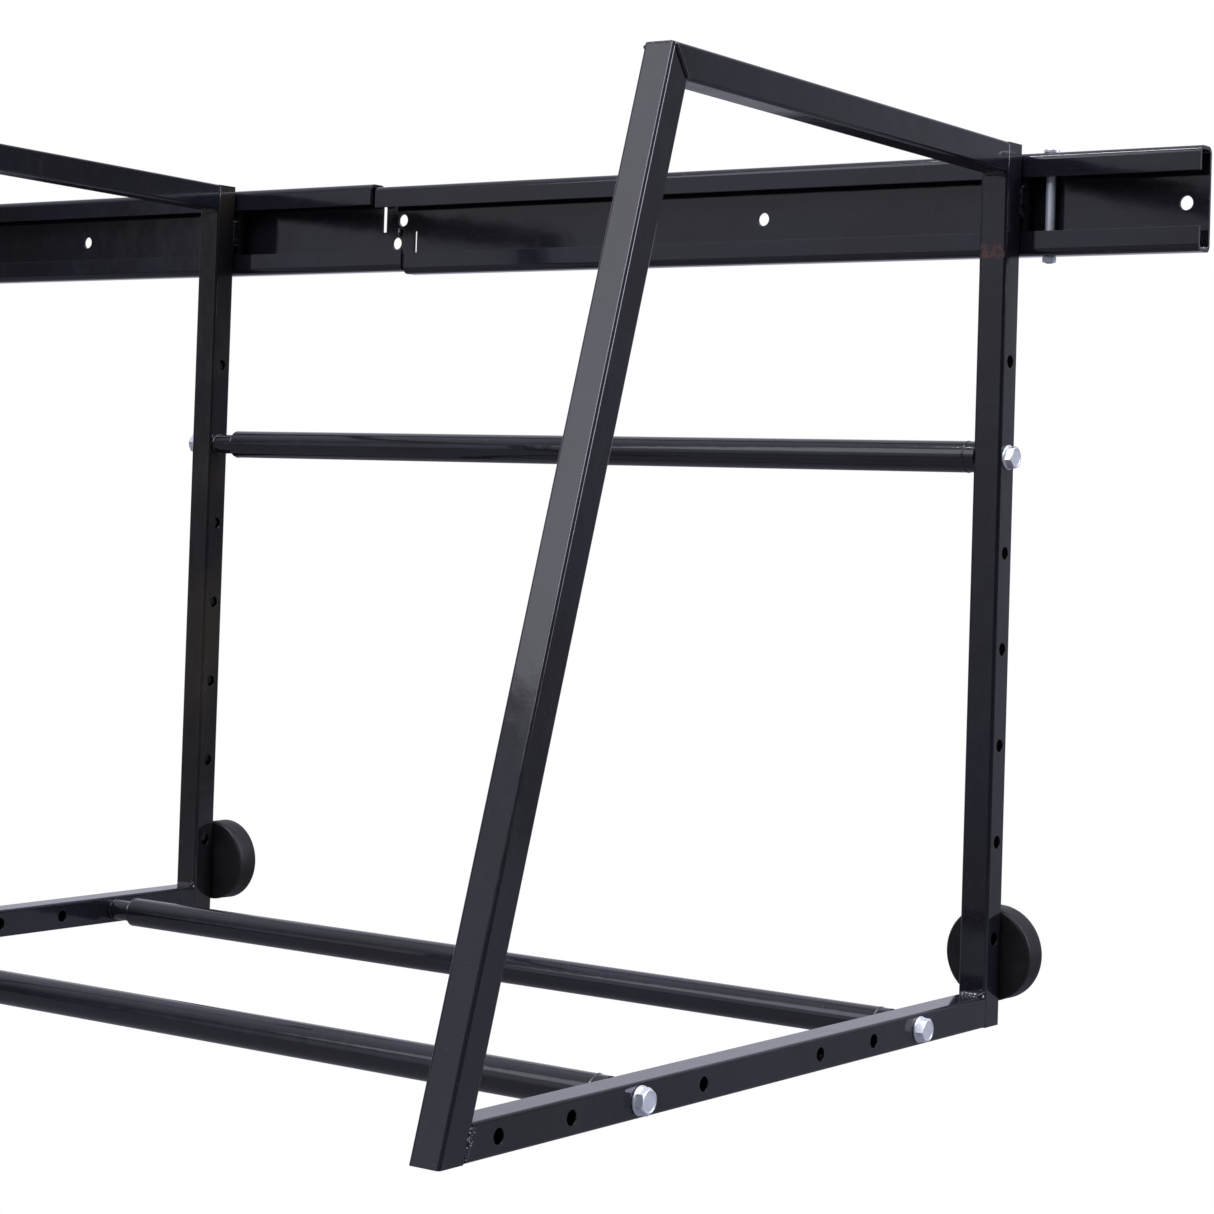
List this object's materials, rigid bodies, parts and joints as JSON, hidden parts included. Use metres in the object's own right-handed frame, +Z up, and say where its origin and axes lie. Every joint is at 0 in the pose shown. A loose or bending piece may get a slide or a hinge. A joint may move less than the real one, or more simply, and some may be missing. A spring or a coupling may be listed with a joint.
{
  "type": "ladder rack",
  "caption": "Wall-hung rack for ladders and long loads: closed tube side frames joined by round bars, sliding on a lipped channel rail with rubber bumpers against the wall.",
  "frame": {"origin": "on the wall plane, half-way between the two side frames, at mid height of the right-hand rail", "axes": "+X along the rail to the right seen from the room, +Y into the wall, +Z up"},
  "size_m": [1.74, 0.7725, 0.7456],
  "materials": {
    "frame_paint": "gloss black paint",
    "bar_paint": "gloss black paint",
    "plug_paint": "gloss black paint",
    "rail_paint": "gloss black paint",
    "hanger_paint": "gloss black paint",
    "zinc": "bright zinc plating",
    "rubber": "matt moulded rubber"
  },
  "bodies": {
    "rail": {"right_rail": "rail_paint", "left_rail": "rail_paint", "stop_bolts": "zinc", "stop_nuts": "zinc"},
    "rack": {"right_rear_post": "frame_paint", "right_floor_arm": "frame_paint", "right_front_leg": "frame_paint", "right_top_arm": "frame_paint", "right_post_cap": "frame_paint", "right_hanger_block": "hanger_paint", "right_slide_plate": "hanger_paint", "right_wall_bumper": "rubber", "right_bumper_washer": "zinc", "right_bumper_bolt": "zinc", "left_rear_post": "frame_paint", "left_floor_arm": "frame_paint", "left_front_leg": "frame_paint", "left_top_arm": "frame_paint", "left_post_cap": "frame_paint", "left_hanger_block": "hanger_paint", "left_slide_plate": "hanger_paint", "left_wall_bumper": "rubber", "left_bumper_washer": "zinc", "left_bumper_bolt": "zinc", "back_bar": "bar_paint", "back_bar_left_plug": "plug_paint", "back_bar_right_plug": "plug_paint", "rear_floor_bar": "bar_paint", "rear_floor_bar_left_plug": "plug_paint", "rear_floor_bar_right_plug": "plug_paint", "front_floor_bar": "bar_paint", "front_floor_bar_left_plug": "plug_paint", "front_floor_bar_right_plug": "plug_paint", "bar_bolts": "zinc", "bar_washers": "zinc"}
  },
  "joints": [
    {"name": "rack_slide", "type": "slide", "parent": "rail", "child": "rack", "axis": [1, 0, 0], "range_m": [-0.52, 0.014]}
  ]
}
